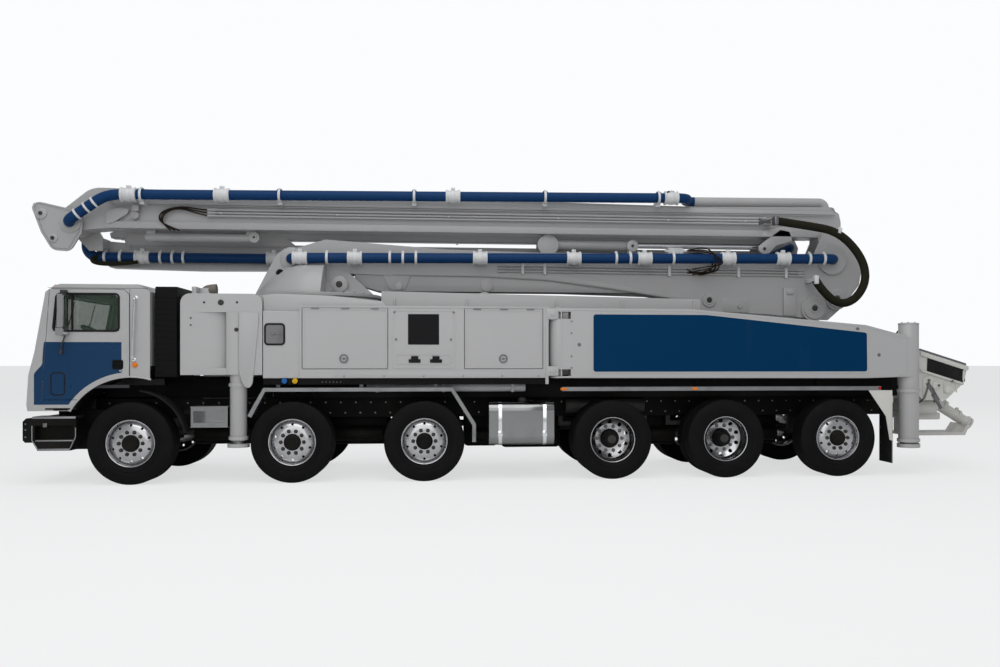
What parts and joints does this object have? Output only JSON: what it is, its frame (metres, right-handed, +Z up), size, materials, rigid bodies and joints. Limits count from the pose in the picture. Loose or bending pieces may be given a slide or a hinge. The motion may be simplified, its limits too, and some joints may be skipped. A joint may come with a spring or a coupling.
{
  "type": "concrete pump truck",
  "caption": "Truck-mounted concrete pump with a folding boom, swing-out and sliding outriggers, jacks and a rear hopper, parked with the boom folded.",
  "frame": {"origin": "on the ground under the middle of the truck's bounding box", "axes": "-X forwards to the cab, +X rearwards to the hopper, -Y the driver's (left) side, +Z up"},
  "size_m": [13.299, 2.86, 3.9344],
  "materials": {
    "tyre": "matt black rubber with polished aluminium rims",
    "frame_black": "black chassis paint",
    "engine_grey": "dull dark grey",
    "cab_white": "glossy white paint",
    "glass": "tinted glass",
    "cab_trim": "dark grey plastic and cloth",
    "hose_black": "black rubber hoses in a wrap",
    "tank_aluminium": "polished aluminium",
    "guard_aluminium": "satin aluminium sheet",
    "body_white": "white paint with a light dust",
    "outrigger_white": "white paint",
    "jack_white": "white paint, worn at the foot",
    "boom_white": "white paint",
    "pipe_blue": "navy blue paint",
    "cylinder_white": "white paint",
    "rod_chrome": "hard chrome",
    "pump_grey": "light grey paint",
    "hopper_cream": "cream paint",
    "grate_steel": "bare steel bars"
  },
  "bodies": {
    "chassis": {"chassis_frame": "frame_black", "axles": "frame_black", "cab_shell": "cab_white", "windscreen": "glass", "cab_interior": "cab_trim", "bumper": "frame_black", "engine_and_intake": "engine_grey", "side_tanks": "tank_aluminium", "mudguards": "guard_aluminium", "deck": "body_white", "pump_unit": "pump_grey", "toolboxes": "body_white", "outrigger_housing": "outrigger_white", "hopper": "hopper_cream", "outlet_pipe": "hopper_cream"},
    "knuckle_left": {"knuckle_left": "frame_black"},
    "knuckle_right": {"knuckle_right": "frame_black"},
    "wheel_1_left": {"wheel_1_left": "tyre"},
    "wheel_1_right": {"wheel_1_right": "tyre"},
    "wheel_2_left": {"wheel_2_left": "tyre"},
    "wheel_2_right": {"wheel_2_right": "tyre"},
    "wheel_3_left": {"wheel_3_left": "tyre"},
    "wheel_3_right": {"wheel_3_right": "tyre"},
    "wheel_4_left": {"wheel_4_left": "tyre"},
    "wheel_4_right": {"wheel_4_right": "tyre"},
    "wheel_5_left": {"wheel_5_left": "tyre"},
    "wheel_5_right": {"wheel_5_right": "tyre"},
    "wheel_6_left": {"wheel_6_left": "tyre"},
    "wheel_6_right": {"wheel_6_right": "tyre"},
    "cab_door_left": {"cab_door_left": "cab_white", "cab_door_glass_left": "glass"},
    "toolbox_door_front_left": {"toolbox_door_front_left": "body_white"},
    "toolbox_door_rear_left": {"toolbox_door_rear_left": "body_white"},
    "front_beam_left": {"front_beam_left": "outrigger_white"},
    "front_jack_left": {"front_jack_left": "jack_white"},
    "rear_arm_left": {"rear_arm_left": "outrigger_white"},
    "rear_jack_left": {"rear_jack_left": "jack_white"},
    "cab_door_right": {"cab_door_right": "cab_white", "cab_door_glass_right": "glass"},
    "toolbox_door_front_right": {"toolbox_door_front_right": "body_white"},
    "toolbox_door_rear_right": {"toolbox_door_rear_right": "body_white"},
    "front_beam_right": {"front_beam_right": "outrigger_white"},
    "front_jack_right": {"front_jack_right": "jack_white"},
    "rear_arm_right": {"rear_arm_right": "outrigger_white"},
    "rear_jack_right": {"rear_jack_right": "jack_white"},
    "hopper_grate": {"hopper_grate": "grate_steel"},
    "turret": {"turret": "boom_white"},
    "boom_1": {"boom_1": "boom_white", "pipe_1": "pipe_blue", "hose_bundle": "hose_black"},
    "boom_2": {"boom_2": "boom_white", "pipe_2": "pipe_blue"},
    "boom_3": {"boom_3": "boom_white", "pipe_3": "pipe_blue"},
    "boom_4": {"boom_4": "boom_white", "pipe_4": "pipe_blue"},
    "lift_rod": {"lift_rod": "rod_chrome"},
    "lift_barrel": {"lift_barrel": "cylinder_white"},
    "fold_rod": {"fold_rod": "rod_chrome"}
  },
  "joints": [
    {"name": "steering_left", "type": "hinge", "parent": "chassis", "child": "knuckle_left", "pos_m": [-5.065, -0.88, 0.512], "axis": [0, 0, 1], "range_deg": [-35, 35]},
    {"name": "steering_right", "type": "hinge", "parent": "chassis", "child": "knuckle_right", "pos_m": [-5.065, 0.88, 0.512], "axis": [0, 0, 1], "range_deg": [-35, 35]},
    {"name": "wheel_1_left_roll", "type": "hinge", "parent": "knuckle_left", "child": "wheel_1_left", "pos_m": [-5.065, -1.1, 0.512], "axis": [0, 1, 0], "continuous": true},
    {"name": "wheel_1_right_roll", "type": "hinge", "parent": "knuckle_right", "child": "wheel_1_right", "pos_m": [-5.065, 1.1, 0.512], "axis": [0, 1, 0], "continuous": true},
    {"name": "wheel_2_left_roll", "type": "hinge", "parent": "chassis", "child": "wheel_2_left", "pos_m": [-3.099, -1.1, 0.512], "axis": [0, 1, 0], "continuous": true},
    {"name": "wheel_2_right_roll", "type": "hinge", "parent": "chassis", "child": "wheel_2_right", "pos_m": [-3.099, 1.1, 0.512], "axis": [0, 1, 0], "continuous": true},
    {"name": "wheel_3_left_roll", "type": "hinge", "parent": "chassis", "child": "wheel_3_left", "pos_m": [-1.443, -1.1, 0.512], "axis": [0, 1, 0], "continuous": true},
    {"name": "wheel_3_right_roll", "type": "hinge", "parent": "chassis", "child": "wheel_3_right", "pos_m": [-1.443, 1.1, 0.512], "axis": [0, 1, 0], "continuous": true},
    {"name": "wheel_4_left_roll", "type": "hinge", "parent": "chassis", "child": "wheel_4_left", "pos_m": [0.997, -1.1, 0.512], "axis": [0, 1, 0], "continuous": true},
    {"name": "wheel_4_right_roll", "type": "hinge", "parent": "chassis", "child": "wheel_4_right", "pos_m": [0.997, 1.1, 0.512], "axis": [0, 1, 0], "continuous": true},
    {"name": "wheel_5_left_roll", "type": "hinge", "parent": "chassis", "child": "wheel_5_left", "pos_m": [2.509, -1.1, 0.512], "axis": [0, 1, 0], "continuous": true},
    {"name": "wheel_5_right_roll", "type": "hinge", "parent": "chassis", "child": "wheel_5_right", "pos_m": [2.509, 1.1, 0.512], "axis": [0, 1, 0], "continuous": true},
    {"name": "wheel_6_left_roll", "type": "hinge", "parent": "chassis", "child": "wheel_6_left", "pos_m": [4.043, -1.1, 0.512], "axis": [0, 1, 0], "continuous": true},
    {"name": "wheel_6_right_roll", "type": "hinge", "parent": "chassis", "child": "wheel_6_right", "pos_m": [4.043, 1.1, 0.512], "axis": [0, 1, 0], "continuous": true},
    {"name": "cab_door_left_hinge", "type": "hinge", "parent": "chassis", "child": "cab_door_left", "pos_m": [-6.12, -1.2, 1.7], "axis": [0, 0, 1], "range_deg": [-65, 0]},
    {"name": "toolbox_door_front_left_hinge", "type": "hinge", "parent": "chassis", "child": "toolbox_door_front_left", "pos_m": [-2.4375, -1.25, 2.2047], "axis": [1, 0, 0], "range_deg": [-90, 0]},
    {"name": "toolbox_door_rear_left_hinge", "type": "hinge", "parent": "chassis", "child": "toolbox_door_rear_left", "pos_m": [-0.4275, -1.25, 2.2047], "axis": [1, 0, 0], "range_deg": [-90, 0]},
    {"name": "front_beam_left_slide", "type": "slide", "parent": "chassis", "child": "front_beam_left", "axis": [0, -1, 0], "range_m": [0, 1.4]},
    {"name": "front_jack_left_slide", "type": "slide", "parent": "front_beam_left", "child": "front_jack_left", "axis": [0, 0, -1], "range_m": [0, 0.44]},
    {"name": "rear_arm_left_hinge", "type": "hinge", "parent": "chassis", "child": "rear_arm_left", "pos_m": [0.297, -1.125, 1.77], "axis": [0, 0, 1], "range_deg": [-55, 0]},
    {"name": "rear_jack_left_slide", "type": "slide", "parent": "rear_arm_left", "child": "rear_jack_left", "axis": [0, 0, -1], "range_m": [0, 0.36]},
    {"name": "cab_door_right_hinge", "type": "hinge", "parent": "chassis", "child": "cab_door_right", "pos_m": [-6.12, 1.2, 1.7], "axis": [0, 0, 1], "range_deg": [0, 65]},
    {"name": "toolbox_door_front_right_hinge", "type": "hinge", "parent": "chassis", "child": "toolbox_door_front_right", "pos_m": [-2.4375, 1.25, 2.2047], "axis": [1, 0, 0], "range_deg": [0, 90]},
    {"name": "toolbox_door_rear_right_hinge", "type": "hinge", "parent": "chassis", "child": "toolbox_door_rear_right", "pos_m": [-0.4275, 1.25, 2.2047], "axis": [1, 0, 0], "range_deg": [0, 90]},
    {"name": "front_beam_right_slide", "type": "slide", "parent": "chassis", "child": "front_beam_right", "axis": [0, 1, 0], "range_m": [0, 1.4]},
    {"name": "front_jack_right_slide", "type": "slide", "parent": "front_beam_right", "child": "front_jack_right", "axis": [0, 0, -1], "range_m": [0, 0.44]},
    {"name": "rear_arm_right_hinge", "type": "hinge", "parent": "chassis", "child": "rear_arm_right", "pos_m": [0.297, 1.125, 1.77], "axis": [0, 0, 1], "range_deg": [0, 55]},
    {"name": "rear_jack_right_slide", "type": "slide", "parent": "rear_arm_right", "child": "rear_jack_right", "axis": [0, 0, -1], "range_m": [0, 0.36]},
    {"name": "hopper_grate_hinge", "type": "hinge", "parent": "chassis", "child": "hopper_grate", "pos_m": [5.4, 0, 1.705], "axis": [0, -1, 0], "range_deg": [0, 80]},
    {"name": "turret_slew", "type": "hinge", "parent": "chassis", "child": "turret", "pos_m": [-2.912, 0, 2.4], "axis": [0, 0, 1], "range_deg": [-185, 185]},
    {"name": "boom_1_lift", "type": "hinge", "parent": "turret", "child": "boom_1", "pos_m": [-3.263, 0, 2.93], "axis": [0, -1, 0], "range_deg": [0, 90]},
    {"name": "boom_2_fold", "type": "hinge", "parent": "boom_1", "child": "boom_2", "pos_m": [4.38, 0, 3], "axis": [0, 1, 0], "range_deg": [0, 180]},
    {"name": "boom_3_fold", "type": "hinge", "parent": "boom_2", "child": "boom_3", "pos_m": [-6.149, 0, 3.389], "axis": [0, -1, 0], "range_deg": [0, 180]},
    {"name": "boom_4_fold", "type": "hinge", "parent": "boom_3", "child": "boom_4", "pos_m": [4, 0, 3.245], "axis": [0, 1, 0], "range_deg": [0, 180]},
    {"name": "lift_rod_foot", "type": "hinge", "parent": "turret", "child": "lift_rod", "pos_m": [-2.602, 0, 2.65], "axis": [0, -1, 0], "range_deg": [0, 95]},
    {"name": "lift_barrel_slide", "type": "slide", "parent": "lift_rod", "child": "lift_barrel", "axis": [0.9996, 0, -0.027], "range_m": [0, 0.96]},
    {"name": "fold_rod_slide", "type": "slide", "parent": "boom_1", "child": "fold_rod", "axis": [1, 0, 0], "range_m": [0, 0.6]}
  ],
  "couplings": [
    {"joint": "steering_right", "follows": "steering_left", "ratio": 1},
    {"joint": "boom_2_fold", "follows": "boom_1_lift", "ratio": 2},
    {"joint": "lift_rod_foot", "follows": "boom_1_lift", "ratio": 1.0423},
    {"joint": "lift_barrel_slide", "follows": "boom_1_lift", "m_per_rad": 0.60097},
    {"joint": "fold_rod_slide", "follows": "boom_1_lift", "m_per_rad": 0.3807}
  ]
}
